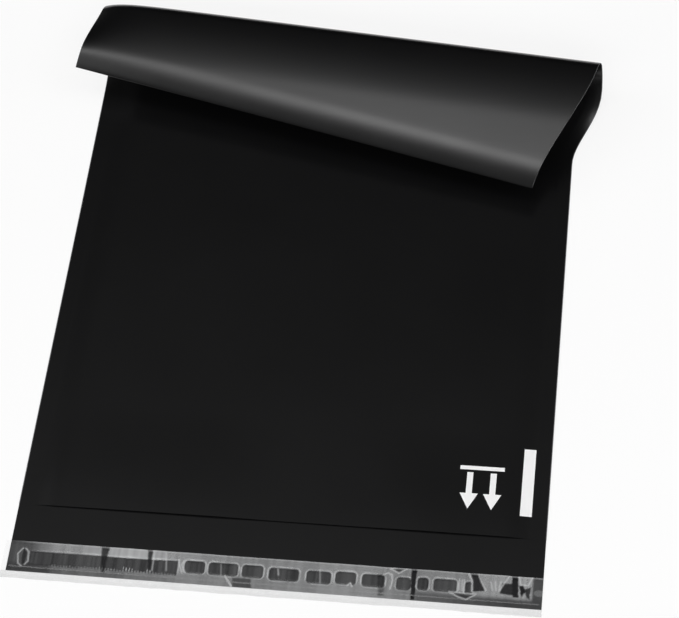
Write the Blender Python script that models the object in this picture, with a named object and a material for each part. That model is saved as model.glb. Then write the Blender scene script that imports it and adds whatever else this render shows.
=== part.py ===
"""Poly mailer bag, empty, lying face up with its closed end curled over.

Metres, +Z up. The origin is under the middle of the mouth's edge, on the
surface that the bag lies on. +Y runs along the bag from the mouth to the
bottom fold, and the sealing flap lies on the -Y side.

One web of film is folded at the bottom and welded along both sides. Its back
panel is longer than its front panel, and the extra length is the flap, which
carries a strip of glue under a clear release liner.
"""

import math

import bmesh
import bpy
from mathutils import Matrix, Vector

# Film and pocket
BAG_WIDTH = 0.2286
BAG_LENGTH = 0.3048
FLAP_LENGTH = 0.0308
FILM_GAUGE = 0.00007
POCKET_GAP = 0.0005

# Side welds, and how the pocket opens beside them
SEAM_WIDTH = 0.0045
SEAM_STEP = 0.0001
SEAM_BLEND = 0.012

# The front panel stands a little off the back one at the mouth
MOUTH_LIFT = 0.0014
MOUTH_LIFT_REACH = 0.05

# The curl's profile along the bag's middle, from where the film leaves the
# floor to the bottom fold, as lengths of film and the angles they turn
LIFT_LENGTH = 0.0203
LIFT_TURN = math.radians(10)
RISE_LENGTH = 0.084
RISE_TURN = math.radians(-2)
ROLL_LENGTH = 0.0185
ROLL_TURN = math.radians(171)
BACK_LENGTH = 0.0282
BACK_TURN = math.radians(17)
TAIL_LENGTH = 0.0218

# The curl is a slight cone: where its point lies, left of the bag's middle
# and past the bottom fold
CONE_SIDE = 5.0
CONE_BEYOND = 0.547

# The roll spreads to the right, and its left end sinks, both easing in from
# the curl's start and out again past the roll
SPREAD = 0.0119
END_SINK = 0.0032
END_SINK_REACH = 0.006
EASE_OUT = 0.060

# A crease beside the bottom fold lets the last of the film droop
CREASE_INSET = 0.007
CREASE_TURN = math.radians(14)

# Glue strip and release liner on the flap
LAYER_GAP = 0.0002
GLUE_INSET = 0.0018
GLUE_WIDTH = 0.0112
GLUE_HEIGHT = 0.00025
GLUE_END_INSET = 0.001
LINER_INSET_UP = 0.0006
LINER_OVERHANG = 0.0034
LINER_GAUGE = 0.00005
LINER_LEFT_OVERHANG = 0.0021
LINER_RIGHT_OVERHANG = 0.0002
LINER_DROP = 0.0005

# Facets
MIDDLE_SPANS = 8
MOUTH_ROWS = 4
LIFT_ROWS = 3
RISE_ROWS = 3
ROLL_ROWS = 14
BACK_ROWS = 6
SHARP_ANGLE = math.radians(30)

# Finishes: colour, roughness and, for the clear liner, opacity
FILM_COLOUR = (0.012, 0.012, 0.013)
FILM_ROUGHNESS = 0.32
GLUE_COLOUR = (0.05, 0.05, 0.055)
GLUE_ROUGHNESS = 0.12
LINER_COLOUR = (0.75, 0.77, 0.78)
LINER_ROUGHNESS = 0.15
LINER_OPACITY = 0.35

HALF_WIDTH = BAG_WIDTH / 2
ROLL_START = LIFT_LENGTH + RISE_LENGTH
ROLL_END = ROLL_START + ROLL_LENGTH
CURL_LENGTH = ROLL_END + BACK_LENGTH + TAIL_LENGTH
CONE_POINT = Vector((-CONE_SIDE, BAG_LENGTH + CONE_BEYOND, 0))
START_ANGLE = -math.atan2(CONE_BEYOND + CURL_LENGTH, CONE_SIDE)
BENDS = (
    (LIFT_LENGTH, LIFT_TURN),
    (RISE_LENGTH, RISE_TURN),
    (ROLL_LENGTH, ROLL_TURN),
    (BACK_LENGTH, BACK_TURN),
    (TAIL_LENGTH, 0),
)


def clear_scene():
    for thing in list(bpy.data.objects):
        bpy.data.objects.remove(thing, do_unlink=True)


def material(name, colour, roughness, opacity=1.0):
    made = bpy.data.materials.new(name)
    made.use_nodes = True
    shader = made.node_tree.nodes["Principled BSDF"]
    shader.inputs["Base Color"].default_value = (*colour, 1)
    shader.inputs["Roughness"].default_value = roughness
    shader.inputs["Metallic"].default_value = 0
    shader.inputs["Alpha"].default_value = opacity
    return made


def add_object(name, bm, finish):
    bmesh.ops.recalc_face_normals(bm, faces=bm.faces)
    mesh = bpy.data.meshes.new(name)
    bm.to_mesh(mesh)
    bm.free()
    mesh.materials.append(finish)
    thing = bpy.data.objects.new(name, mesh)
    bpy.context.collection.objects.link(thing)
    return thing


def smoothstep(value):
    value = min(max(value, 0), 1)
    return value * value * (3 - 2 * value)


def bent_frame(frame, angle, turn_rate):
    """Swing a frame about the cone's point while it also turns upwards."""
    line, ahead, inner = frame
    axis = turn_rate * line + inner
    spin = Matrix.Rotation(angle * axis.length, 3, axis.normalized())
    return spin @ line, spin @ ahead, spin @ inner


def frame_at(angle):
    """The straight line of the curl at an angle round the cone's point.

    Returns its direction, the direction along the film and the normal on
    the pocket's front side.
    """
    line = Vector((math.cos(START_ANGLE), math.sin(START_ANGLE), 0))
    ahead = Vector((-math.sin(START_ANGLE), math.cos(START_ANGLE), 0))
    frame = (line, ahead, Vector((0, 0, 1)))
    left = angle
    for number, (length, turn) in enumerate(BENDS):
        last = number == len(BENDS) - 1
        part = left if last else min(left, length / CONE_SIDE)
        frame = bent_frame(frame, part, turn * CONE_SIDE / length)
        left -= part
        if left <= 0:
            break
    return frame


def droop(along):
    return max(along - (BAG_LENGTH - CREASE_INSET), 0) * math.tan(CREASE_TURN)


def eased(distance):
    """One at the roll, and none at the curl's start and at its far end."""
    growing = smoothstep(distance / ROLL_START)
    fading = smoothstep((distance - ROLL_END) / EASE_OUT)
    return growing * (1 - fading)


def curled(across, along, height):
    """Carry a point of the flat bag to its place on the curled one."""
    flat = Vector((across, along, 0))
    arm = flat - CONE_POINT
    angle = math.atan2(arm.y, arm.x) - START_ANGLE
    if angle <= 0:
        return Vector((across, along, height))
    line, _, inner = frame_at(angle)
    placed = CONE_POINT + arm.length * line + (height + droop(along)) * inner
    share = eased(angle * CONE_SIDE)
    from_left = across + HALF_WIDTH
    placed.x += SPREAD * from_left / BAG_WIDTH * share
    placed.z -= END_SINK * math.exp(-from_left / END_SINK_REACH) * share
    return placed


def curl_line(distance, across):
    """How far along the bag a straight line of the curl crosses."""
    angle = START_ANGLE + distance / CONE_SIDE
    return CONE_POINT.y + (across + CONE_SIDE) * math.tan(angle)


def columns():
    """Places across the bag: welds, blends beside them, and the middle."""
    weld = HALF_WIDTH - SEAM_WIDTH
    blend = weld - SEAM_BLEND
    middle = [blend * (2 * step / MIDDLE_SPANS - 1) for step in range(MIDDLE_SPANS + 1)]
    return [-HALF_WIDTH, -weld] + middle + [weld, HALF_WIDTH]


def pocket_gap(across, along):
    inside = HALF_WIDTH - SEAM_WIDTH - abs(across)
    opened = smoothstep(inside / SEAM_BLEND)
    bow = math.cos(math.pi * across / BAG_WIDTH) ** 2
    lift = MOUTH_LIFT * bow * (1 - smoothstep(along / MOUTH_LIFT_REACH))
    return SEAM_STEP + (POCKET_GAP - SEAM_STEP + lift) * opened


def pocket_rows():
    """Rows along the bag from the mouth to the bottom fold, as functions."""
    rows = []
    for step in range(MOUTH_ROWS + 1):
        along = MOUTH_LIFT_REACH * step / MOUTH_ROWS
        rows.append(lambda across, along=along: along)
    start = 0
    for length, count in (
        (LIFT_LENGTH, LIFT_ROWS),
        (RISE_LENGTH, RISE_ROWS),
        (ROLL_LENGTH, ROLL_ROWS),
    ):
        for step in range(count):
            distance = start + length * step / count
            rows.append(lambda across, distance=distance: curl_line(distance, across))
        start += length
    crease = BAG_LENGTH - CREASE_INSET
    for step in range(BACK_ROWS + 1):
        share = step / BACK_ROWS

        def between(across, share=share):
            return (1 - share) * curl_line(start, across) + share * crease

        rows.append(between)
    return rows


def vertex_line(bm, places, along, height):
    return [bm.verts.new(curled(x, along(x), height(x, along(x)))) for x in places]


def skin(bm, lines):
    """Faces between neighbouring lines of vertices."""
    for first, second in zip(lines, lines[1:]):
        for step in range(len(first) - 1):
            bm.faces.new((first[step], first[step + 1], second[step + 1], second[step]))


def side_wall(bm, low, high):
    for step in range(len(low) - 1):
        bm.faces.new((low[step], low[step + 1], high[step + 1], high[step]))


def make_bag(finish):
    """The folded, side-welded film with its open pocket and its flap."""
    bm = bmesh.new()
    across = columns()
    inner_across = across[1:-1]
    fold_radius = FILM_GAUGE + POCKET_GAP / 2
    rows = pocket_rows() + [lambda x: BAG_LENGTH - fold_radius]

    def weld_or_gap(x, along):
        return pocket_gap(x, along) if abs(x) < HALF_WIDTH - SEAM_WIDTH / 2 else 0

    def outside_top(x, along):
        return 2 * FILM_GAUGE + weld_or_gap(x, along)

    def pocket_top(x, along):
        return FILM_GAUGE + pocket_gap(x, along)

    def half_height(x, along):
        return FILM_GAUGE + weld_or_gap(x, along) / 2

    bottom = [vertex_line(bm, across, row, lambda x, along: 0) for row in rows]
    top = [vertex_line(bm, across, row, outside_top) for row in rows]
    ceiling = [vertex_line(bm, inner_across, row, pocket_top) for row in rows]
    mouth_floor = vertex_line(bm, across, rows[0], lambda x, along: FILM_GAUGE)
    floor = [mouth_floor[1:-1]]
    floor += [vertex_line(bm, inner_across, row, lambda x, along: FILM_GAUGE) for row in rows[1:]]
    outer_nose = vertex_line(bm, across, lambda x: BAG_LENGTH, half_height)
    inner_nose = vertex_line(bm, inner_across, lambda x: BAG_LENGTH - FILM_GAUGE, half_height)
    flap_bottom = vertex_line(bm, across, lambda x: -FLAP_LENGTH, lambda x, along: 0)
    flap_top = vertex_line(bm, across, lambda x: -FLAP_LENGTH, lambda x, along: FILM_GAUGE)

    skin(bm, [flap_bottom] + bottom + [outer_nose])
    skin(bm, top + [outer_nose])
    skin(bm, [flap_top, mouth_floor])
    skin(bm, floor + [inner_nose])
    skin(bm, ceiling + [inner_nose])
    skin(bm, [flap_bottom, flap_top])

    # The front panel's cut edge at the mouth, with the weld's ends beside it
    skin(bm, [ceiling[0], top[0][1:-1]])
    bm.faces.new((top[0][0], top[0][1], ceiling[0][0], mouth_floor[1], mouth_floor[0]))
    bm.faces.new((top[0][-1], top[0][-2], ceiling[0][-1], mouth_floor[-2], mouth_floor[-1]))

    for side in (0, -1):
        low = [line[side] for line in bottom]
        high = [line[side] for line in top]
        side_wall(bm, low[1:], high[1:])
        bm.faces.new((low[0], low[1], high[1], high[0], mouth_floor[side]))
        bm.faces.new((low[-1], outer_nose[side], high[-1]))
        bm.faces.new((flap_bottom[side], low[0], mouth_floor[side], flap_top[side]))
        pocket_low = [line[side] for line in floor]
        pocket_high = [line[side] for line in ceiling]
        side_wall(bm, pocket_low, pocket_high)
        bm.faces.new((pocket_low[-1], inner_nose[side], pocket_high[-1]))

    bag = add_object("mailer_bag", bm, finish)
    for face in bag.data.polygons:
        face.use_smooth = True
    bag.data.set_sharp_from_angle(angle=SHARP_ANGLE)
    return bag


def strip(name, section, left, right, finish):
    """A section in Y and Z, drawn out along X from left to right."""
    bm = bmesh.new()
    face = bm.faces.new([bm.verts.new((left, y, z)) for y, z in section])
    moved = bmesh.ops.extrude_face_region(bm, geom=[face])
    fresh = [item for item in moved["geom"] if isinstance(item, bmesh.types.BMVert)]
    bmesh.ops.translate(bm, verts=fresh, vec=(right - left, 0, 0))
    return add_object(name, bm, finish)


def make_glue(finish):
    """A low bead of glue, rounded down to the flap along both edges."""
    near = -FLAP_LENGTH + GLUE_INSET
    far = near + GLUE_WIDTH
    base = FILM_GAUGE + LAYER_GAP
    shoulder = GLUE_HEIGHT / 2
    section = (
        (near, base),
        (far, base),
        (far, base + shoulder),
        (far - shoulder, base + GLUE_HEIGHT),
        (near + shoulder, base + GLUE_HEIGHT),
        (near, base + shoulder),
    )
    end = HALF_WIDTH - GLUE_END_INSET
    return strip("adhesive_strip", section, -end, end, finish)


def make_liner(finish):
    """The clear liner over the glue, drooping past the flap's edge."""
    glue_near = -FLAP_LENGTH + GLUE_INSET
    far = glue_near + GLUE_WIDTH + LINER_INSET_UP
    near = -FLAP_LENGTH - LINER_OVERHANG
    base = FILM_GAUGE + LAYER_GAP + GLUE_HEIGHT + LAYER_GAP
    low = base - LINER_DROP
    section = (
        (near, low),
        (glue_near, base),
        (far, base),
        (far, base + LINER_GAUGE),
        (glue_near, base + LINER_GAUGE),
        (near, low + LINER_GAUGE),
    )
    left = -HALF_WIDTH - LINER_LEFT_OVERHANG
    right = HALF_WIDTH + LINER_RIGHT_OVERHANG
    return strip("release_liner", section, left, right, finish)


def main():
    clear_scene()
    make_bag(material("black_film", FILM_COLOUR, FILM_ROUGHNESS))
    make_glue(material("glue", GLUE_COLOUR, GLUE_ROUGHNESS))
    make_liner(material("clear_liner", LINER_COLOUR, LINER_ROUGHNESS, LINER_OPACITY))


main()
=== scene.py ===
"""A poly mailer bag lying face up with its closed end curled over: its looks.

Metres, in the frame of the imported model. The film, its welds and the print are
laid out flat in code, as across, along and height, and one function, curled,
carries them to the curled bag. The glue and the liner lie on the flat flap.
"""

import math

import bpy
import numpy as np
from mathutils import Matrix, Vector


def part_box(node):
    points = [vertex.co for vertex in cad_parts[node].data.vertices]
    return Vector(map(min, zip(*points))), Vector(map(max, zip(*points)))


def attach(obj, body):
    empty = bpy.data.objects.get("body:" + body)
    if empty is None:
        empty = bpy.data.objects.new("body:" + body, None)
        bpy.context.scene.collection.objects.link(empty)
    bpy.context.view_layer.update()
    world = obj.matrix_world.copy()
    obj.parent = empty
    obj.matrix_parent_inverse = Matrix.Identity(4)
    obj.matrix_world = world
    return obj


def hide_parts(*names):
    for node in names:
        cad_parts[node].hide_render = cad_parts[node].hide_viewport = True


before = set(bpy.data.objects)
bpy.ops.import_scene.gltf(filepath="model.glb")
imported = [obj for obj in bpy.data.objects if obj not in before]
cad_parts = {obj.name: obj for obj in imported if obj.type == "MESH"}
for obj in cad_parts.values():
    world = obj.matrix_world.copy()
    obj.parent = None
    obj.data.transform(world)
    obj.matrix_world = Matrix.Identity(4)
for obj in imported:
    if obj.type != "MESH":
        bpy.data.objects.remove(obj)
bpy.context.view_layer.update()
bpy.ops.object.select_all(action="DESELECT")

# The photograph's size and the camera that it was fitted with
PHOTO_WIDTH = 679
FOCAL_PIXELS = 1944
SENSOR_WIDTH = 36
CAMERA_TARGET = Vector((0.01458, 0.10482, 0))
CAMERA_DISTANCE = 0.8773
CAMERA_AZIMUTH = math.radians(16.79)
CAMERA_ELEVATION = math.radians(60.46)
CAMERA_ROLL = math.radians(-11.66)
CAMERA_CLIP = (0.05, 20)

# The bag's film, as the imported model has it, and the fine ridge beside its welds
BAG_WIDTH = 0.2286
BAG_LENGTH = 0.3048
FLAP_LENGTH = -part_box("mailer_bag")[0].y
FILM_GAUGE = 0.00007
POCKET_GAP = 0.0005
SEAM_WIDTH = 0.006
SEAM_BLEND = 0.012
SEAM_RIDGE = 0.00003
SEAM_RIDGE_WIDTH = 0.0007
EDGE_BEAD = 0.00018
BEAD_FLATNESS = 0.9

# The front panel stands a little off the back one, most of all at the mouth
MOUTH_LIFT = 0.0009
MOUTH_LIFT_REACH = 0.05
MOUTH_BOW = 0.45
MOUTH_BOW_STEP = 0.032
RIPPLE = 0.00012
RIPPLE_STEPS = (0.041, 0.053)
RIPPLE_SLANTS = (0.25, -0.3)

# The curl's profile along the bag's middle: lengths of film and their turns
LIFT_LENGTH = 0.0203
LIFT_TURN = math.radians(10)
RISE_LENGTH = 0.084
RISE_TURN = math.radians(-2)
ROLL_LENGTH = 0.0185
ROLL_TURN = math.radians(171)
BACK_LENGTH = 0.0282
BACK_TURN = math.radians(17)
TAIL_LENGTH = 0.0218

# The curl is wound on a slim cone, whose point lies far to the left of the bag
CONE_SIDE = 5.0
CONE_BEYOND = 0.547

# The film stays low under the curl, then bends up late into the roll
LOW_UNTIL = 0.070
RISEN_FROM = 0.1135

# The roll spreads to the right, and its left end sinks
SPREAD = 0.0119
SPREAD_EASE = 0.060
END_SINK = 0.0042
END_SINK_REACH = 0.008
SINK_EASE_IN = 0.014
SINK_EASE_OUT = 0.026

# Near the bottom fold the film drops at a soft crease
CREASE_INSET = 0.007
CREASE_TURN = math.radians(14)
CREASE_SOFTNESS = 0.0070

# The glue strip and its liner on the flap
GLUE_LOW, GLUE_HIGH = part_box("adhesive_strip")
LINER_LOW, LINER_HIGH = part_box("release_liner")
LINER_GAUGE = 0.00005

# How finely the film is divided: its columns to one side, and its rows
MIDDLE_COLUMNS = 43
COLUMNS_BY_SEAM = (-3.0, -1.6, -0.8, -0.3, 0, 0.3, 0.8, 1.6, 3.0)
COLUMNS_FROM_EDGE = (0, 0.0005, 0.0015, 0.003)
FLAP_ROWS = 15
MOUTH_ROWS = 26
PANEL_ROWS = 26
LIFT_ROWS = 9
RISE_ROWS = 26
ROLL_ROWS = 44
BACK_ROWS = 20
DROP_ROWS = 11
FOLD_ROWS = 9
WELD_ROUND = 8

HALF_WIDTH = BAG_WIDTH / 2
ROLL_START = LIFT_LENGTH + RISE_LENGTH
ROLL_END = ROLL_START + ROLL_LENGTH
CURL_LENGTH = ROLL_END + BACK_LENGTH + TAIL_LENGTH
CONE_POINT = np.array((-CONE_SIDE, BAG_LENGTH + CONE_BEYOND, 0))
START_ANGLE = -math.atan2(CONE_BEYOND + CURL_LENGTH, CONE_SIDE)
BENDS = (
    (LIFT_LENGTH, LIFT_TURN),
    (RISE_LENGTH, RISE_TURN),
    (ROLL_LENGTH, ROLL_TURN),
    (BACK_LENGTH, BACK_TURN),
    (TAIL_LENGTH, 0),
)

# How many values a random line has before it repeats, and when points are one
WANDER_KNOTS = 512
SAME_PLACE = 0.000001

# The finishes. A grain is how many times a metre it repeats along X, Y and Z,
# and a relief is its depth in metres and its strength
PLASTIC_IOR = 1.5
LINER_IOR = 1.45
FILM_COLOUR = (0.0035, 0.0035, 0.0037)
FILM_ROUGHNESS = (0.19, 0.25)
FILM_LINES = (25, 900, 900)
FILM_CLOUDS = (30, 30, 30)
FILM_RELIEF = (0.00001, 0.5)
# The welds' pale grey is a painted highlight: the thin light line along the sealed edges
WELD_PAINTED_HIGHLIGHT = (0.12, 0.12, 0.125)
WELD_ROUGHNESS = 0.3
WELD_GRAIN = (1200, 400, 1200)
WELD_RELIEF = (0.00002, 0.6)
LINER_COLOUR = (0.5, 0.505, 0.51)
LINER_ROUGHNESS = 0.2
LINER_GRAIN = (900, 120, 900)
LINER_RELIEF = (0.00003, 0.6)
GLUE_COLOUR = (0.008, 0.008, 0.009)
GLUE_ROUGHNESS = (0.12, 0.3)
GLUE_STROKES = (700, 60, 60)
GLUE_RELIEF = (0.00006, 0.8)
INK_COLOUR = (0.92, 0.92, 0.92)
INK_ROUGHNESS = 0.35
INK_STREAKS = (300, 900, 300)
INK_RELIEF = (0.00001, 0.4)
FLOOR_COLOUR = (0.92, 0.92, 0.92)
FLOOR_ROUGHNESS = 0.9


def smoothstep(value):
    """Ease from 0 to 1 as the value does."""
    value = np.clip(value, 0, 1)
    return value * value * (3 - 2 * value)


def wander(place, step, seed):
    """A smooth random line through values from -1 to 1, one for each step."""
    place = np.asarray(place) / step
    knots = np.random.default_rng(seed).uniform(-1, 1, WANDER_KNOTS)
    whole = np.floor(place).astype(int)
    share = smoothstep(place - whole)
    return knots[whole % WANDER_KNOTS] * (1 - share) + knots[(whole + 1) % WANDER_KNOTS] * share


def turned(points, axes, angles):
    """Rows of points turned about rows of unit axes."""
    cosine = np.cos(angles)[:, None]
    sine = np.sin(angles)[:, None]
    along = (points * axes).sum(1)[:, None]
    return points * cosine + np.cross(axes, points) * sine + axes * along * (1 - cosine)


def droop(along):
    """How far the last of the film has dropped, past the crease."""
    past = along - (BAG_LENGTH - CREASE_INSET)
    soft = CREASE_SOFTNESS
    eased = np.where(past > -soft, (past + soft) ** 2 / (4 * soft), 0)
    return np.where(past > soft, past, eased) * math.tan(CREASE_TURN)


def curled(across, along, height):
    """Carry points of the flat bag to their places on the curled one.

    A point's angle about the cone's point says how far into the curl it is. Its
    line from there is turned bend by bend, with the film's inner side.
    """
    across, along, height = np.broadcast_arrays(across, along, height)
    across, along, height = (part.ravel().astype(float) for part in (across, along, height))
    flat = np.column_stack((across, along, np.zeros(len(across))))
    arm = flat - CONE_POINT
    reach = np.linalg.norm(arm, axis=1)[:, None]
    angle = np.arctan2(arm[:, 1], arm[:, 0]) - START_ANGLE
    line = np.tile((math.cos(START_ANGLE), math.sin(START_ANGLE), 0), (len(flat), 1))
    inner = np.tile((0.0, 0.0, 1.0), (len(flat), 1))
    left = np.maximum(angle, 0)
    for number, (length, turn) in enumerate(BENDS):
        last = number == len(BENDS) - 1
        part = left if last else np.minimum(left, length / CONE_SIDE)
        axes = turn * CONE_SIDE / length * line + inner
        size = np.linalg.norm(axes, axis=1)
        unit = axes / size[:, None]
        line = turned(line, unit, part * size)
        inner = turned(inner, unit, part * size)
        left = left - part
    web = CONE_POINT + reach * line
    placed = web + (height + droop(along))[:, None] * inner
    distance = angle * CONE_SIDE
    risen = np.clip((distance - LOW_UNTIL) / (RISEN_FROM - LOW_UNTIL), 0, 1) ** 2
    placed[:, 2] -= web[:, 2] * (1 - risen)
    easing_in = smoothstep((distance - LOW_UNTIL) / (ROLL_START - LOW_UNTIL))
    share = easing_in * (1 - smoothstep((distance - ROLL_END) / SPREAD_EASE))
    from_left = across + HALF_WIDTH
    placed[:, 0] += SPREAD * from_left / BAG_WIDTH * share
    sinking = smoothstep((distance - ROLL_START + SINK_EASE_IN) / SINK_EASE_IN)
    sinking *= 1 - smoothstep((distance - ROLL_END) / SINK_EASE_OUT)
    placed[:, 2] -= END_SINK * np.exp(-from_left / END_SINK_REACH) * sinking
    flat[:, 2] = height
    return np.where((angle > 0)[:, None], placed, flat)


def curl_line(distance, across):
    """Where along the flat bag a place lies that is this far into the curl."""
    angle = START_ANGLE + distance / CONE_SIDE
    return CONE_POINT[1] + (across + CONE_SIDE) * math.tan(angle)


def pocket_gap(across, along):
    """How far the front panel stands off the back one."""
    inside = HALF_WIDTH - SEAM_WIDTH - np.abs(across)
    opened = smoothstep(inside / SEAM_BLEND)
    at_mouth = 1 - smoothstep(along / MOUTH_LIFT_REACH)
    bow = 1 - MOUTH_BOW + MOUTH_BOW * wander(across, MOUTH_BOW_STEP, 3)
    ripples = wander(across + RIPPLE_SLANTS[0] * along, RIPPLE_STEPS[0], 5)
    ripples = ripples + wander(along + RIPPLE_SLANTS[1] * across, RIPPLE_STEPS[1], 8)
    ridge = np.exp(-((inside / SEAM_RIDGE_WIDTH) ** 2)) * SEAM_RIDGE
    return (POCKET_GAP + MOUTH_LIFT * bow * at_mouth + RIPPLE * ripples) * opened + ridge


def front_height(across, along):
    """The middle of the front panel's film, above the back panel's outside."""
    return 1.5 * FILM_GAUGE + pocket_gap(across, along)


def columns_across():
    """The film's columns, closer together beside the welds."""
    weld = HALF_WIDTH - SEAM_WIDTH
    beside = np.array(COLUMNS_BY_SEAM) * SEAM_RIDGE_WIDTH
    edge = HALF_WIDTH - np.array(COLUMNS_FROM_EDGE)
    middle = np.linspace(0, weld - SEAM_RIDGE_WIDTH * 5, MIDDLE_COLUMNS)
    half = np.unique(np.concatenate((middle, weld + beside, edge)))
    return np.concatenate((-half[:0:-1], half))


def rows_along(across):
    """Rows of the front panel, from its mouth to the fold, one line each."""
    mouth_places = np.linspace(0, MOUTH_LIFT_REACH, MOUTH_ROWS)
    rows = [np.full_like(across, place) for place in mouth_places]
    start = curl_line(0, across)
    for share in np.linspace(0, 1, PANEL_ROWS)[1:-1]:
        rows.append(MOUTH_LIFT_REACH * (1 - share) + start * share)
    reached = 0
    bends = ((LIFT_LENGTH, LIFT_ROWS), (RISE_LENGTH, RISE_ROWS), (ROLL_LENGTH, ROLL_ROWS))
    for length, count in bends:
        for step in range(count):
            rows.append(curl_line(reached + length * step / count, across))
        reached += length
    crease = BAG_LENGTH - CREASE_INSET - CREASE_SOFTNESS
    roll_end = curl_line(reached, across)
    for share in np.linspace(0, 1, BACK_ROWS):
        rows.append(roll_end * (1 - share) + crease * share)
    last = BAG_LENGTH - FILM_GAUGE - POCKET_GAP
    for share in np.linspace(0, 1, DROP_ROWS)[1:]:
        rows.append(np.full_like(across, crease * (1 - share) + last * share))
    return rows


def grid_piece(name, points, count_across):
    """A grid laid through rows of points, each with the same count across."""
    count_along = len(points) // count_across
    bpy.ops.mesh.primitive_grid_add(
        x_subdivisions=count_across - 1, y_subdivisions=count_along - 1, size=1
    )
    piece = bpy.context.object
    piece.name = name
    piece.data.name = name
    piece.data.vertices.foreach_set("co", np.asarray(points, np.float32).ravel())
    piece.data.update()
    return piece


def use(piece, tool, **settings):
    """Add a modifier of this kind and apply it."""
    modifier = piece.modifiers.new(tool.lower(), tool)
    for key, value in settings.items():
        setattr(modifier, key, value)
    bpy.context.view_layer.objects.active = piece
    bpy.ops.object.modifier_apply(modifier=modifier.name)


def smooth(piece, angle):
    """Shade smooth wherever faces meet at less than this many degrees."""
    bpy.ops.object.select_all(action="DESELECT")
    piece.select_set(True)
    bpy.context.view_layer.objects.active = piece
    bpy.ops.object.shade_smooth_by_angle(angle=math.radians(angle))
    piece.select_set(False)


def face_outwards(piece):
    """Turn every face of a closed piece outwards."""
    bpy.ops.object.select_all(action="DESELECT")
    piece.select_set(True)
    bpy.context.view_layer.objects.active = piece
    bpy.ops.object.mode_set(mode="EDIT")
    bpy.ops.mesh.select_all(action="SELECT")
    bpy.ops.mesh.normals_make_consistent(inside=False)
    bpy.ops.object.mode_set(mode="OBJECT")
    piece.select_set(False)


def place_on_bag(piece, slot, *nodes):
    """Fix a piece to the bag and hide the imported parts it stands for. Its finish's slot is not used."""
    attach(piece, "root")
    if nodes:
        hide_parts(*nodes)


def new_material(name, colour, roughness):
    """A material, its nodes and its shader."""
    made = bpy.data.materials.new(name)
    made.use_nodes = True
    shader = made.node_tree.nodes["Principled BSDF"]
    shader.inputs["Base Color"].default_value = (*colour, 1)
    shader.inputs["Roughness"].default_value = roughness
    return made, made.node_tree, shader


def stretched_noise(tree, scale, detail=3.0):
    """Noise on the piece's own coordinates, stretched by its scale per axis."""
    nodes = tree.nodes
    place = nodes.new("ShaderNodeTexCoord")
    mapping = nodes.new("ShaderNodeMapping")
    mapping.inputs["Scale"].default_value = scale
    noise = nodes.new("ShaderNodeTexNoise")
    noise.inputs["Scale"].default_value = 1
    noise.inputs["Detail"].default_value = detail
    tree.links.new(place.outputs["Object"], mapping.inputs["Vector"])
    tree.links.new(mapping.outputs["Vector"], noise.inputs["Vector"])
    return noise.outputs["Fac"]


def ranged(tree, value, low, high):
    """Bring a value from 0 to 1 to the range from low to high."""
    node = tree.nodes.new("ShaderNodeMapRange")
    node.inputs["To Min"].default_value = low
    node.inputs["To Max"].default_value = high
    tree.links.new(value, node.inputs["Value"])
    return node.outputs["Result"]


def bumped(tree, shader, height, distance, strength):
    """Raise and sink the finish by a height, over this distance in metres."""
    bump = tree.nodes.new("ShaderNodeBump")
    bump.inputs["Strength"].default_value = strength
    bump.inputs["Distance"].default_value = distance
    tree.links.new(height, bump.inputs["Height"])
    tree.links.new(bump.outputs["Normal"], shader.inputs["Normal"])


def black_film():
    """Satin black film with fine lines across the bag and a cloudy sheen."""
    made, tree, shader = new_material("black_film", FILM_COLOUR, FILM_ROUGHNESS[0])
    shader.inputs["IOR"].default_value = PLASTIC_IOR
    lines = stretched_noise(tree, FILM_LINES)
    clouds = stretched_noise(tree, FILM_CLOUDS, 2)
    tree.links.new(ranged(tree, clouds, *FILM_ROUGHNESS), shader.inputs["Roughness"])
    bumped(tree, shader, lines, *FILM_RELIEF)
    return made


def make_film(finish):
    """One folded web: back panel with its flap, bottom fold, front panel."""
    across = columns_across()
    front_rows = rows_along(across)
    fold_from = front_rows[-1][0]
    flap_places = np.linspace(-FLAP_LENGTH, 0, FLAP_ROWS)[:-1]
    flap = [np.full_like(across, place) for place in flap_places]
    lines = []
    for along in flap + front_rows:
        lines.append(curled(across, along, FILM_GAUGE / 2))
    low = np.full_like(across, FILM_GAUGE / 2)
    high = front_height(across, front_rows[-1])
    for turn in np.linspace(0, math.pi, FOLD_ROWS)[1:-1]:
        along = fold_from + math.sin(turn) * (BAG_LENGTH - FILM_GAUGE / 2 - fold_from)
        height = (low + high) / 2 - math.cos(turn) * (high - low) / 2
        lines.append(curled(across, along, height))
    for along in front_rows[::-1]:
        lines.append(curled(across, along, front_height(across, along)))
    film = grid_piece("mailer_film", np.concatenate(lines), len(across))
    use(film, "SOLIDIFY", thickness=FILM_GAUGE, offset=0)
    film.data.materials.append(finish)
    face_outwards(film)
    smooth(film, 50)
    place_on_bag(film, "black_film", "mailer_bag")
    return film


def weld_film_with_painted_highlight():
    """The film where the hot knife has sealed it: rounder, and a pale grey that paints the thin highlight
    along the welded edges.
    """
    made, tree, shader = new_material("weld_film_with_painted_highlight", WELD_PAINTED_HIGHLIGHT, WELD_ROUGHNESS)
    shader.inputs["IOR"].default_value = PLASTIC_IOR
    bumped(tree, shader, stretched_noise(tree, WELD_GRAIN), *WELD_RELIEF)
    return made


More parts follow.
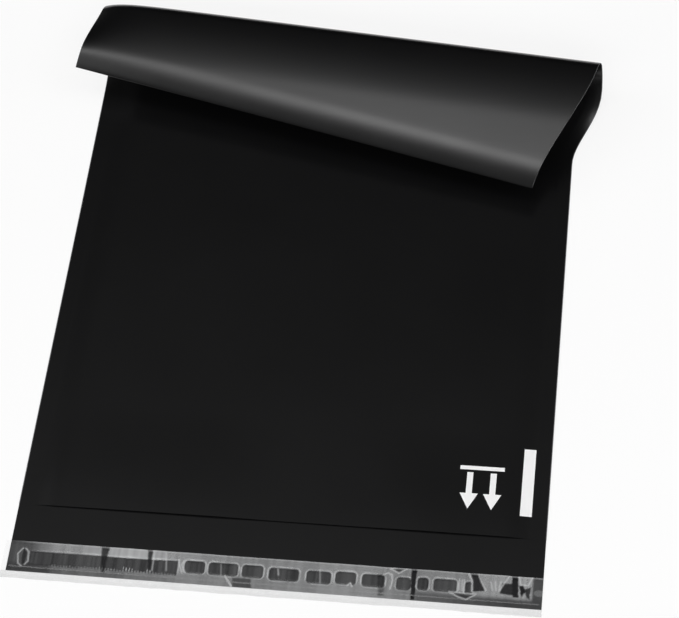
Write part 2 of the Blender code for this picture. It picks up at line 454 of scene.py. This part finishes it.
def make_side_weld(name, side, finish):
    """The fine bead that the hot knife leaves along a welded side."""
    edge = np.array((side * HALF_WIDTH,))
    points = []
    for along in np.concatenate(rows_along(edge)):
        for turn in np.linspace(0, 2 * math.pi, WELD_ROUND + 1):
            across = side * (HALF_WIDTH - EDGE_BEAD / 2 + EDGE_BEAD * math.cos(turn))
            points.append((across, along, EDGE_BEAD * BEAD_FLATNESS * (1 + math.sin(turn))))
    points = np.array(points)
    bead = grid_piece(name, curled(points[:, 0], points[:, 1], points[:, 2]), WELD_ROUND + 1)
    bpy.ops.object.mode_set(mode="EDIT")
    bpy.ops.mesh.select_all(action="SELECT")
    bpy.ops.mesh.remove_doubles(threshold=SAME_PLACE)
    bpy.ops.mesh.select_all(action="DESELECT")
    bpy.ops.mesh.select_non_manifold()
    bpy.ops.mesh.fill_holes(sides=0)
    bpy.ops.object.mode_set(mode="OBJECT")
    bead.data.materials.append(finish)
    face_outwards(bead)
    smooth(bead, 60)
    place_on_bag(bead, "black_film")
    return bead


def rounded_box(x, y, half_wide, half_high, corner):
    """Signed distance to a rounded rectangle about the origin."""
    dx = np.abs(x) - half_wide + corner
    dy = np.abs(y) - half_high + corner
    outside = np.hypot(np.maximum(dx, 0), np.maximum(dy, 0))
    return outside + np.minimum(np.maximum(dx, dy), 0) - corner


# Where the liner is stuck to the glue: cells from left to right, each with its
# two ends, and a long run left of them with fine teeth along its lower edge
CELLS = (
    (-0.0367, -0.0283),
    (-0.0263, -0.0140),
    (-0.0119, -0.0032),
    (-0.0004, 0.0121),
    (0.0157, 0.0258),
    (0.0279, 0.0363),
    (0.0392, 0.0484),
    (0.0537, 0.0594),
    (0.0625, 0.0668),
    (0.0692, 0.0786),
    (0.0822, 0.0852),
)
CELL_HALF_HEIGHT = 0.0026
CELL_CORNER = 0.0013
CELL_DRIFT = 0.0003
BOND_MIDDLE = -0.0237
COMB_LEFT = -0.1045
TEETH_FROM = -0.0965
COMB_RIGHT = -0.0400
COMB_TOP = -0.0216
COMB_FOOT = -0.0276
TEETH_EASE = 0.002
TOOTH = 0.0013
TOOTH_SHORT = 0.0011
TOOTH_SPARE = 0.0020
COMB_RAG = 0.0003
# The pale lines just outside the stuck edges are painted highlights on the liner's ridges
PALE_LINE = 0.00028
PALE_LINE_OUT = 0.0006
CELL_GLINT_STRENGTH = 0.70
COMB_GLINT_STRENGTH = 0.45

# Dark puckers, where no light comes back. Each has its corners in order, how
# dark it is, from 0 to 1, and how softly its edge fades, in metres
DARK_FIELDS = (
    (((-0.0744, -0.0165), (-0.0704, -0.0165), (-0.0712, -0.0290), (-0.0722, -0.0290)), 0.95, 0.0005),
    (((-0.0540, -0.0165), (-0.0515, -0.0165), (-0.0512, -0.0260), (-0.0524, -0.0260)), 0.95, 0.0004),
    (((0.0592, -0.0165), (0.0617, -0.0165), (0.0617, -0.0308), (0.0600, -0.0308)), 1.0, 0.0003),
    (((0.0840, -0.0171), (0.0876, -0.0171), (0.0908, -0.0246), (0.0858, -0.0252)), 0.97, 0.0003),
    (((0.0975, -0.0207), (0.1042, -0.0204), (0.1045, -0.0258), (0.0968, -0.0254)), 0.97, 0.0004),
    (((0.1010, -0.0160), (0.1038, -0.0160), (0.1044, -0.0265), (0.1020, -0.0265)), 1.0, 0.0003),
    (((0.1044, -0.0212), (0.1062, -0.0208), (0.1076, -0.0236), (0.1056, -0.0262)), 1.0, 0.0004),
    (((0.1070, -0.0226), (0.1096, -0.0214), (0.1090, -0.0270), (0.1076, -0.0262)), 0.95, 0.0004),
    (((0.0453, -0.0204), (0.0485, -0.0204), (0.0488, -0.0300), (0.0462, -0.0300)), 0.7, 0.0006),
    (((-0.0160, -0.0269), (-0.0082, -0.0266), (-0.0070, -0.0310), (-0.0152, -0.0310)), 0.75, 0.0004),
    (((0.0508, -0.0178), (0.0541, -0.0172), (0.0574, -0.0174), (0.0542, -0.0191)), 0.8, 0.0002),
    (((0.0765, -0.0262), (0.0866, -0.0265), (0.0830, -0.0284), (0.0800, -0.0277)), 0.8, 0.0002),
)

# Painted highlights on the liner's folds: how bright each is, from 0 to 1, and the points it runs through
PAINTED_GLINT_STROKES = (
    (0.35, ((-0.0508, -0.0176), (-0.0506, -0.0262))),
    (0.30, ((-0.0456, -0.0180), (-0.0445, -0.0258))),
    (0.50, ((-0.0397, -0.0207), (-0.0391, -0.0232), (-0.0376, -0.0262))),
    (0.50, ((-0.0372, -0.0207), (-0.0382, -0.0228), (-0.0362, -0.0262))),
    (0.70, ((-0.0191, -0.0263), (-0.0177, -0.0281), (-0.0158, -0.0306))),
    (0.20, ((-0.0214, -0.0214), (-0.0208, -0.0260))),
    (0.40, ((0.0031, -0.0217), (0.0036, -0.0241))),
    (0.22, ((0.0209, -0.0205), (0.0216, -0.0266))),
    (0.70, ((0.0332, -0.0264), (0.0343, -0.0254), (0.0351, -0.0268))),
    (0.60, ((0.0478, -0.0206), (0.0497, -0.0197), (0.0514, -0.0204), (0.0518, -0.0232), (0.0511, -0.0266))),
    (0.50, ((0.0506, -0.0178), (0.0541, -0.0169), (0.0576, -0.0172), (0.0542, -0.0195), (0.0506, -0.0178))),
    (0.45, ((0.0797, -0.0203), (0.0797, -0.0250))),
    (0.45, ((0.0809, -0.0203), (0.0809, -0.0250))),
    (0.40, ((0.0818, -0.0203), (0.0819, -0.0249))),
    (0.65, ((0.0832, -0.0172), (0.0850, -0.0206), (0.0851, -0.0250))),
    (0.45, ((0.0758, -0.0260), (0.0870, -0.0263), (0.0830, -0.0289), (0.0794, -0.0279), (0.0758, -0.0260))),
    (0.55, ((0.0874, -0.0173), (0.0888, -0.0206), (0.0908, -0.0243))),
    (0.40, ((0.0927, -0.0204), (0.0937, -0.0240))),
    (0.40, ((0.0946, -0.0203), (0.0951, -0.0239))),
    (0.40, ((0.0969, -0.0201), (0.0962, -0.0234))),
    (0.45, ((0.1005, -0.0171), (0.0993, -0.0190), (0.0964, -0.0240))),
    (0.45, ((0.1042, -0.0170), (0.1052, -0.0208), (0.1082, -0.0208), (0.1100, -0.0170))),
    (0.45, ((-0.1082, -0.0205), (-0.1101, -0.0231), (-0.1093, -0.0273), (-0.1076, -0.0286))),
    (0.45, ((-0.1070, -0.0205), (-0.1055, -0.0219), (-0.1051, -0.0261), (-0.1062, -0.0277))),
)
STROKE_WIDTH = 0.00032

# Painted shade in the hollow inside the ringed blister at the left end
RING_CORNERS = (
    (-0.1079, -0.0208),
    (-0.1068, -0.0208),
    (-0.1060, -0.0228),
    (-0.1064, -0.0270),
    (-0.1074, -0.0280),
    (-0.1081, -0.0250),
)
RING_SOFTNESS = 0.0006
RING_PAINTED_SHADE = 0.85

# Haze of the upper band and the lower band, at places along the strip
UPPER_HAZE = (
    (-0.1150, 0.06),
    (-0.1050, 0.07),
    (-0.1000, 0.18),
    (-0.0930, 0.36),
    (-0.0760, 0.40),
    (-0.0700, 0.58),
    (-0.0560, 0.62),
    (-0.0500, 0.50),
    (-0.0400, 0.33),
    (-0.0150, 0.30),
    (0.0400, 0.30),
    (0.0590, 0.27),
    (0.0620, 0.22),
    (0.0840, 0.28),
    (0.0880, 0.36),
    (0.1000, 0.46),
    (0.1040, 0.56),
    (0.1095, 0.46),
    (0.1105, 0.07),
    (0.1160, 0.06),
)
LOWER_HAZE = (
    (-0.1150, 0.03),
    (-0.0960, 0.04),
    (-0.0900, 0.12),
    (-0.0650, 0.11),
    (-0.0600, 0.15),
    (-0.0450, 0.18),
    (-0.0300, 0.25),
    (0.0000, 0.27),
    (0.0400, 0.29),
    (0.0590, 0.24),
    (0.0630, 0.09),
    (0.0900, 0.06),
    (0.1000, 0.045),
    (0.1160, 0.05),
)
LOWER_BAND_BELOW = 0.0018
LOWER_BAND_EASE = 0.0030
STUCK_HAZE = 0.045
OVERHANG_HAZE = 0.23
SIDE_HAZE = 0.04

# The pale oval at the right end, and the bright line under the strip's top edge
OVAL_CENTRE = (0.1129, -0.0240)
OVAL_SIZE = (0.0022, 0.0014)
OVAL_HAZE = 0.10
TOP_LINE_HAZE = 0.22
TOP_LINE_WIDTH = 0.0003
TOP_LINE_FROM = -0.112
TOP_LINE_EASE = 0.01

# Heights of the liner above the glue, and how far it puckers where it is free
LINER_LIFT = 0.00012
LINER_LOWEST_LIFT = 0.00006
PUCKER = 0.00010
PUCKER_EASE = 0.0012
OVERHANG_DROP_FROM = 0.0006
OVERHANG_DROP_REACH = 0.0034
OVERHANG_WAVE = 0.00012
EDGE_WAVE = 0.00025
LINER_COLUMNS = 780
LINER_ROWS = 60
GLUE_COLUMNS = 420
GLUE_ROWS = 34
GLUE_RIM = 0.0006
FADE = 0.0003


def nearest_cell(x, y):
    """Signed distance to the nearest stuck-down cell of the liner."""
    nearest = np.full_like(x, 1.0)
    for number, (left, right) in enumerate(CELLS):
        drop = CELL_DRIFT * wander(float(number), 1, 13)
        half_wide = (right - left) / 2
        dx, dy = x - (left + right) / 2, y - BOND_MIDDLE - drop
        nearest = np.minimum(nearest, rounded_box(dx, dy, half_wide, CELL_HALF_HEIGHT, CELL_CORNER))
    return nearest


def comb_distance(x, y):
    """Signed distance to the stuck-down run with its comb of fine teeth."""
    tall = TOOTH_SHORT + TOOTH_SPARE * np.clip(wander(x, 2 * TOOTH, 21), 0, 1) ** 2
    tooth = np.abs((x / TOOTH) % 1 - 0.5) * 2
    teeth = np.clip(1 - tooth * 1.5, 0, 1) * tall * smoothstep((x - TEETH_FROM) / TEETH_EASE)
    foot = COMB_FOOT + teeth + COMB_RAG * wander(x, 0.011, 22)
    top = COMB_TOP + COMB_RAG * wander(x, 0.013, 23)
    sides = np.maximum(COMB_LEFT - x, x - COMB_RIGHT)
    return np.maximum(np.maximum(foot - y, y - top), sides)


def field_distance(x, y, corners):
    """Signed distance to a convex field, its corners in either order."""
    turning = 0
    for (ax, ay), (bx, by) in zip(corners, corners[1:] + corners[:1]):
        turning += ax * by - bx * ay
    farthest = np.full_like(x, -1.0)
    for (ax, ay), (bx, by) in zip(corners, corners[1:] + corners[:1]):
        long = math.hypot(bx - ax, by - ay)
        off = ((by - ay) * (x - ax) - (bx - ax) * (y - ay)) / long
        farthest = np.maximum(farthest, off if turning > 0 else -off)
    return farthest


def stroke_distance(x, y, points):
    """Distance to the nearest place on a stroke through these points."""
    nearest = np.full_like(x, 1.0)
    for (ax, ay), (bx, by) in zip(points, points[1:]):
        long = (bx - ax) ** 2 + (by - ay) ** 2
        share = np.clip(((x - ax) * (bx - ax) + (y - ay) * (by - ay)) / long, 0, 1)
        dx = x - ax - share * (bx - ax)
        dy = y - ay - share * (by - ay)
        nearest = np.minimum(nearest, np.hypot(dx, dy))
    return nearest


def along_strip(x, stops):
    """The value between a table's stops at each place along the strip."""
    places, values = zip(*stops)
    return np.interp(x, places, values)


def liner_haze_and_painted_light(x, y):
    """Haze of the liner at points: low where it is stuck, high on its folds, with painted highlights at the
    folds and stuck edges and painted shade in the puckers.
    """
    cells, comb = nearest_cell(x, y), comb_distance(x, y)
    lower = smoothstep((BOND_MIDDLE - LOWER_BAND_BELOW - y) / LOWER_BAND_EASE)
    streaks = 1 + 0.16 * wander(x, 0.0011, 31) + 0.14 * wander(x, 0.0057, 32)
    haze_and_painted_light = along_strip(x, UPPER_HAZE) * (1 - lower) + along_strip(x, LOWER_HAZE) * lower
    haze_and_painted_light *= streaks
    stuck_haze = STUCK_HAZE + 0.020 * wander(x, 0.0009, 33) + 0.014 * wander(x, 0.005, 34)
    haze_and_painted_light = np.where(np.minimum(cells, comb) < 0, stuck_haze, haze_and_painted_light)
    uneven = 0.65 + 0.35 * wander(x + y, 0.0021, 35)
    uneven *= 0.45 + 0.55 * smoothstep((CELL_HALF_HEIGHT - np.abs(y - BOND_MIDDLE)) / 0.0009)
    comb_glint = COMB_GLINT_STRENGTH * smoothstep((x - TEETH_FROM) / (2 * TEETH_EASE))
    # Each stuck edge gets a thin darker line and, just outside it, a painted highlight
    for stuck, strength in ((cells, CELL_GLINT_STRENGTH), (comb, comb_glint)):
        haze_and_painted_light *= 1 - 0.7 * np.exp(-((stuck / PALE_LINE) ** 2))
        haze_and_painted_light += strength * uneven * np.exp(-(((stuck - PALE_LINE_OUT) / PALE_LINE) ** 2))
    ragged_x = x + 0.0002 * wander(y, 0.0013, 41)
    # Painted shade in the puckers and in the ringed hollow
    for corners, dark, soft in DARK_FIELDS:
        shade = smoothstep(0.5 - field_distance(ragged_x, y, corners) / (2 * soft))
        haze_and_painted_light *= 1 - dark * shade
    ringed = smoothstep(0.5 - field_distance(x, y, RING_CORNERS) / RING_SOFTNESS)
    haze_and_painted_light *= 1 - RING_PAINTED_SHADE * ringed
    # Painted highlights along the folds
    for bright, points in PAINTED_GLINT_STROKES:
        haze_and_painted_light += bright * np.exp(-((stroke_distance(x, y, points) / STROKE_WIDTH) ** 2))
    oval = np.hypot((x - OVAL_CENTRE[0]) / OVAL_SIZE[0], (y - OVAL_CENTRE[1]) / OVAL_SIZE[1])
    haze_and_painted_light += OVAL_HAZE * smoothstep((1.1 - oval) / 0.2)
    top_line = np.exp(-(((LINER_HIGH.y - TOP_LINE_WIDTH - y) / TOP_LINE_WIDTH) ** 2))
    haze_and_painted_light += TOP_LINE_HAZE * top_line * smoothstep((x - TOP_LINE_FROM) / TOP_LINE_EASE)
    beside = smoothstep((np.abs(x) - HALF_WIDTH) / FADE)
    haze_and_painted_light = haze_and_painted_light * (1 - beside) + SIDE_HAZE * beside
    below = smoothstep((-FLAP_LENGTH - 0.0001 - y) / FADE)
    haze_and_painted_light = haze_and_painted_light * (1 - below) + OVERHANG_HAZE * below
    return np.clip(haze_and_painted_light, 0.0, 1.0)


def liner_height(x, y):
    """The middle of the liner: flat on the glue, puckered off it."""
    on_glue = GLUE_HIGH.z + LINER_LIFT
    free = smoothstep(np.minimum(nearest_cell(x, y), comb_distance(x, y)) / PUCKER_EASE)
    pucker = PUCKER * (1 + wander(x, 0.0021, 51)) * 0.5 + PUCKER * (1 + wander(x, 0.007, 52))
    beyond = smoothstep((-FLAP_LENGTH - y + OVERHANG_DROP_FROM) / OVERHANG_DROP_REACH)
    height = on_glue + free * pucker
    low = LINER_LOW.z + LINER_LOWEST_LIFT + OVERHANG_WAVE * (1 + wander(x, 0.009, 53))
    return height * (1 - beyond) + low * beyond


def clear_liner():
    """Thin clear film: its haze, with painted highlights and painted shade, is drawn on the piece as an
    attribute.
    """
    made, tree, shader = new_material("clear_liner", LINER_COLOUR, LINER_ROUGHNESS)
    shader.inputs["IOR"].default_value = LINER_IOR
    drawn = tree.nodes.new("ShaderNodeAttribute")
    drawn.attribute_name = "haze_and_painted_light"
    tree.links.new(drawn.outputs["Fac"], shader.inputs["Alpha"])
    bumped(tree, shader, stretched_noise(tree, LINER_GRAIN), *LINER_RELIEF)
    return made


def make_liner(finish):
    """The clear strip over the glue, drooping past the flap's edge."""
    x_places = np.linspace(LINER_LOW.x, LINER_HIGH.x, LINER_COLUMNS)
    y_places = np.linspace(LINER_LOW.y, LINER_HIGH.y, LINER_ROWS)
    x, y = np.meshgrid(x_places, y_places)
    x, y = x.ravel(), y.ravel()
    edge_wave = EDGE_WAVE * wander(x, 0.011, 61)
    near_edge = smoothstep((-FLAP_LENGTH - y) / 0.003)
    points = np.column_stack((x, y + np.abs(edge_wave) * near_edge, liner_height(x, y)))
    liner = grid_piece("liner_film", points, len(x_places))
    haze_and_painted_light = liner.data.attributes.new("haze_and_painted_light", "FLOAT", "POINT")
    haze_and_painted_light.data.foreach_set("value", liner_haze_and_painted_light(x, y).astype(np.float32))
    use(liner, "SOLIDIFY", thickness=LINER_GAUGE, offset=0)
    liner.data.materials.append(finish)
    smooth(liner, 60)
    place_on_bag(liner, "clear_liner", "release_liner")
    return liner


def dark_glue():
    """Glossy hot-melt glue with fine strokes across the strip."""
    made, tree, shader = new_material("glue", GLUE_COLOUR, GLUE_ROUGHNESS[0])
    strokes = stretched_noise(tree, GLUE_STROKES)
    tree.links.new(ranged(tree, strokes, *GLUE_ROUGHNESS), shader.inputs["Roughness"])
    bumped(tree, shader, strokes, *GLUE_RELIEF)
    return made


def make_glue(finish):
    """The strip of glue on the flap, a little raised where the liner sticks."""
    x_places = np.linspace(GLUE_LOW.x, GLUE_HIGH.x, GLUE_COLUMNS)
    y_places = np.linspace(GLUE_LOW.y, GLUE_HIGH.y, GLUE_ROWS)
    x, y = np.meshgrid(x_places, y_places)
    x, y = x.ravel(), y.ravel()
    rim = np.minimum(y - GLUE_LOW.y, GLUE_HIGH.y - y)
    raised = smoothstep(rim / GLUE_RIM)
    pads = smoothstep(-nearest_cell(x, y) / GLUE_RIM)
    thickness = GLUE_HIGH.z - GLUE_LOW.z
    height = GLUE_LOW.z + thickness * (0.55 * raised + 0.35 * pads * raised + 0.08)
    glue = grid_piece("glue_strip", np.column_stack((x, y, height)), len(x_places))
    use(glue, "SOLIDIFY", thickness=thickness * 0.4, offset=-1)
    glue.data.materials.append(finish)
    smooth(glue, 50)
    place_on_bag(glue, "glue", "adhesive_strip")
    return glue


# Plain print on the front panel, clear of the film by a hair
PRINT_LIFT = 0.00003
INK_GAUGE = 0.00002
PATCH_CENTRE = (0.1050, 0.0255)
PATCH_SIZE = (0.0050, 0.0310)
PATCH_STEPS = 16


def white_ink():
    """Matt white ink with the faint streaks of its roller."""
    made, tree, shader = new_material("white_ink", INK_COLOUR, INK_ROUGHNESS)
    bumped(tree, shader, stretched_noise(tree, INK_STREAKS), *INK_RELIEF)
    return made


def printed(name, x, y, count_across, finish):
    """A grid of ink laid on the curled bag's front panel."""
    height = front_height(x, y) + FILM_GAUGE / 2 + PRINT_LIFT
    mark = grid_piece(name, curled(x, y, height), count_across)
    mark.data.materials.append(finish)
    return mark


def printed_quad(name, corners, steps, finish):
    """A four-cornered field of ink, fine enough to follow the film."""
    share = np.linspace(0, 1, steps)
    s, t = (part.ravel() for part in np.meshgrid(share, share))
    first, second, third, fourth = (np.array(corner) for corner in corners)
    low = first[None] * (1 - s[:, None]) + second[None] * s[:, None]
    high = fourth[None] * (1 - s[:, None]) + third[None] * s[:, None]
    places = low * (1 - t[:, None]) + high * t[:, None]
    return printed(name, places[:, 0], places[:, 1], steps, finish)


def joined(name, parts):
    """Make one piece of several."""
    bpy.ops.object.select_all(action="DESELECT")
    for part in parts:
        part.select_set(True)
    bpy.context.view_layer.objects.active = parts[0]
    bpy.ops.object.join()
    parts[0].name = name
    parts[0].select_set(False)
    return parts[0]


def make_size_patch(finish):
    """The white field at the right edge, left blank."""
    x, y = PATCH_CENTRE
    wide, high = PATCH_SIZE[0] / 2, PATCH_SIZE[1] / 2
    low, top = y - high, y + high
    corners = ((x - wide, low), (x + wide, low), (x + wide, top), (x - wide, top))
    patch = printed_quad("size_patch", corners, PATCH_STEPS, finish)
    use(patch, "SOLIDIFY", thickness=INK_GAUGE, offset=0)
    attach(patch, "root")
    return patch


# A plain pair of arrows under a bar, pointing to the flap
MARK_CENTRE = (0.0852, 0.0210)
MARK_ABOVE_CENTRE = 0.0105
MARK_BAR = (0.0190, 0.0018)
MARK_BAR_STEPS = 10
ARROW_BELOW_BAR = 0.0012
ARROW_STEPS = 8
ARROW_SPACING = 0.0100
ARROW_LENGTH = 0.0170
ARROW_STEM = 0.0026
ARROW_HEAD = (0.0078, 0.0072)


def make_handling_mark(finish):
    """The bar and its two arrows, joined as one thin print."""
    x, y = MARK_CENTRE
    top = y + MARK_ABOVE_CENTRE
    wide, high = MARK_BAR[0] / 2, MARK_BAR[1]
    low = top - high
    bar = ((x - wide, low), (x + wide, low), (x + wide, top), (x - wide, top))
    parts = [printed_quad("mark_bar", bar, MARK_BAR_STEPS, finish)]
    for side in (-1, 1):
        middle = x + side * ARROW_SPACING / 2
        base = low - ARROW_BELOW_BAR
        neck = base - ARROW_LENGTH + ARROW_HEAD[1]
        stem = ARROW_STEM / 2
        head = ARROW_HEAD[0] / 2
        tip = base - ARROW_LENGTH
        left, right = middle - stem, middle + stem
        shaft = ((left, neck), (right, neck), (right, base), (left, base))
        point = ((middle, tip), (middle, tip), (middle + head, neck), (middle - head, neck))
        parts.append(printed_quad("mark_stem", shaft, ARROW_STEPS, finish))
        parts.append(printed_quad("mark_head", point, ARROW_STEPS, finish))
    mark = joined("handling_mark", parts)
    bpy.ops.object.select_all(action="DESELECT")
    mark.select_set(True)
    bpy.ops.object.mode_set(mode="EDIT")
    bpy.ops.mesh.select_all(action="SELECT")
    bpy.ops.mesh.remove_doubles(threshold=SAME_PLACE)
    bpy.ops.object.mode_set(mode="OBJECT")
    mark.select_set(False)
    use(mark, "SOLIDIFY", thickness=INK_GAUGE, offset=0)
    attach(mark, "root")
    return mark


# Studio light: two soft boxes at the sides, a fill in front, and a ceiling light.
# Angles are in degrees: the ceiling band's up from the horizon behind the bag,
# and its spread's from straight ahead to the right
LIGHT_AIM = (0, 0.13, 0)
SIDE_BOX_POWER = 8
SIDE_BOX_SIZE = (0.9, 1.2)
SIDE_BOX_PLACE = (1.4, 0.1, 1.3)
FRONT_BOX_POWER = 18
FRONT_BOX_SIZE = (2.0, 0.5)
FRONT_BOX_PLACE = (0, -1.2, 1.12)
FLOOR_GLOW = 0.82
FLOOR_SIZE = 12
FLOOR_DROP = 0.0004
CEILING_LEVEL = 6.6
CEILING_BAND = (
    (50, 0.0),
    (55, 0.003),
    (61, 0.008),
    (65, 0.022),
    (69, 0.032),
    (73, 0.052),
    (79, 0.092),
    (84, 0.165),
    (87, 0.34),
    (90, 0.85),
    (92, 1.0),
    (95, 1.0),
    (97, 0.5),
    (99, 0.14),
    (102, 0.05),
    (106, 0.04),
    (116, 0.03),
    (150, 0.0),
)
CEILING_SPREAD = (
    (-60, 0.0),
    (-40, 0.15),
    (-28, 0.3),
    (-20, 0.52),
    (-16, 0.78),
    (-11, 1.0),
    (-8, 0.78),
    (-4, 0.63),
    (10, 0.42),
    (35, 0.3),
    (60, 0.0),
)

# The room's own dim light, by how high a direction points and how far back
ROOM_BY_HEIGHT = ((0.0, 0.3), (0.25, 0.18), (0.6, 0.06), (1.0, 0.06))
ROOM_BY_DEPTH = ((0.0, 1.0), (0.55, 1.0), (0.72, 0.7), (0.9, 0.12), (1.0, 0.1))


def camera_axes():
    """The camera's right, its up, and the way back from what it looks at."""
    back = Vector(
        (
            math.sin(CAMERA_AZIMUTH) * math.cos(CAMERA_ELEVATION),
            -math.cos(CAMERA_AZIMUTH) * math.cos(CAMERA_ELEVATION),
            math.sin(CAMERA_ELEVATION),
        )
    )
    right = Vector((0, 0, 1)).cross(back).normalized()
    up = back.cross(right)
    turn = Matrix.Rotation(CAMERA_ROLL, 3, back)
    return turn @ right, turn @ up, back


def make_camera():
    """The camera at the photograph's place, turn and focal length."""
    right, up, back = camera_axes()
    lens = bpy.data.cameras.new("photo_camera")
    lens.sensor_width = SENSOR_WIDTH
    lens.lens = FOCAL_PIXELS * SENSOR_WIDTH / PHOTO_WIDTH
    lens.clip_start, lens.clip_end = CAMERA_CLIP
    camera = bpy.data.objects.new("photo_camera", lens)
    bpy.context.scene.collection.objects.link(camera)
    turn = Matrix((right, up, back)).transposed()
    camera.matrix_world = Matrix.Translation(CAMERA_TARGET + back * CAMERA_DISTANCE) @ turn.to_4x4()
    bpy.context.scene.camera = camera


def softbox(name, place, size, power):
    """A rectangular lamp that looks at the bag."""
    lamp = bpy.data.lights.new(name, "AREA")
    lamp.shape = "RECTANGLE"
    lamp.size, lamp.size_y = size
    lamp.energy = power
    holder = bpy.data.objects.new(name, lamp)
    bpy.context.scene.collection.objects.link(holder)
    holder.location = place
    aim = Vector(LIGHT_AIM) - Vector(place)
    holder.rotation_euler = aim.to_track_quat("-Z", "Y").to_euler()
    return holder


def make_lights():
    """The boxes at the sides, and the fill, which leaves no highlight on the film."""
    aside, along, high = SIDE_BOX_PLACE
    for name, side in (("left_box", -1), ("right_box", 1)):
        softbox(name, (aside * side, along, high), SIDE_BOX_SIZE, SIDE_BOX_POWER)
    fill = softbox("front_box", FRONT_BOX_PLACE, FRONT_BOX_SIZE, FRONT_BOX_POWER)
    fill.visible_glossy = False


def graded(tree, value, stops):
    """A ramp through (place, brightness) pairs, places from 0 to 1."""
    ramp = tree.nodes.new("ShaderNodeValToRGB").color_ramp
    ramp.interpolation = "LINEAR"
    while len(ramp.elements) < len(stops):
        ramp.elements.new(0.5)
    for element, (place, bright) in zip(ramp.elements, stops):
        element.position = place
        element.color = (bright, bright, bright, 1)
    node = tree.nodes[-1]
    tree.links.new(value, node.inputs["Fac"])
    return node.outputs["Color"]


def calculated(tree, operation, *values):
    """A Math node's result for values that are numbers or sockets."""
    node = tree.nodes.new("ShaderNodeMath")
    node.operation = operation
    for socket, value in zip(node.inputs, values):
        if isinstance(value, (int, float)):
            socket.default_value = value
        else:
            tree.links.new(value, socket)
    return node.outputs[0]


def make_world():
    """A long soft ceiling light over the bag in a room that is dim behind it."""
    world = bpy.data.worlds.new("studio")
    bpy.context.scene.world = world
    world.use_nodes = True
    tree = world.node_tree
    shade = tree.nodes["Background"]
    shade.inputs["Color"].default_value = (1, 1, 1, 1)
    place = tree.nodes.new("ShaderNodeTexCoord")
    parts = tree.nodes.new("ShaderNodeSeparateXYZ")
    tree.links.new(place.outputs["Generated"], parts.inputs["Vector"])
    x, y, z = parts.outputs
    around = calculated(tree, "DIVIDE", calculated(tree, "ARCTAN2", z, y), math.pi)
    aside = calculated(tree, "MULTIPLY_ADD", calculated(tree, "ARCSINE", x), 1 / math.pi, 0.5)
    band = graded(tree, around, [(angle / 180, level) for angle, level in CEILING_BAND])
    spread = graded(tree, aside, [(0.5 + angle / 180, level) for angle, level in CEILING_SPREAD])
    ceiling = calculated(tree, "MULTIPLY", band, spread)
    ceiling = calculated(tree, "MULTIPLY", ceiling, CEILING_LEVEL)
    room = graded(tree, z, ROOM_BY_HEIGHT)
    facing = graded(tree, calculated(tree, "MULTIPLY_ADD", y, 0.5, 0.5), ROOM_BY_DEPTH)
    room = calculated(tree, "MULTIPLY", room, facing)
    tree.links.new(calculated(tree, "ADD", room, ceiling), shade.inputs["Strength"])


def make_floor():
    """A pale floor that the camera and clear or glossy pieces see glowing white."""
    bpy.ops.mesh.primitive_plane_add(size=FLOOR_SIZE, location=(0, 0, -FLOOR_DROP))
    floor = bpy.context.object
    floor.name = "floor"
    made, tree, shader = new_material("pale_floor", FLOOR_COLOUR, FLOOR_ROUGHNESS)
    shader.inputs["Specular IOR Level"].default_value = 0
    rays = tree.nodes.new("ShaderNodeLightPath")
    seen = rays.outputs["Is Camera Ray"]
    for kind in ("Is Glossy Ray", "Is Transmission Ray"):
        seen = calculated(tree, "MAXIMUM", seen, rays.outputs[kind])
    glow = tree.nodes.new("ShaderNodeEmission")
    mix = tree.nodes.new("ShaderNodeMixShader")
    tree.links.new(calculated(tree, "MULTIPLY", seen, FLOOR_GLOW), mix.inputs["Fac"])
    tree.links.new(shader.outputs[0], mix.inputs[1])
    tree.links.new(glow.outputs[0], mix.inputs[2])
    tree.links.new(mix.outputs[0], tree.nodes["Material Output"].inputs["Surface"])
    floor.data.materials.append(made)


film = black_film()
ink = white_ink()
make_film(film)
painted_weld_highlight = weld_film_with_painted_highlight()
make_side_weld("left_weld", -1, painted_weld_highlight)
make_side_weld("right_weld", 1, painted_weld_highlight)
make_glue(dark_glue())
make_liner(clear_liner())
make_size_patch(ink)
make_handling_mark(ink)
make_camera()
make_lights()
make_world()
make_floor()
bpy.context.scene.view_settings.view_transform = "Standard"
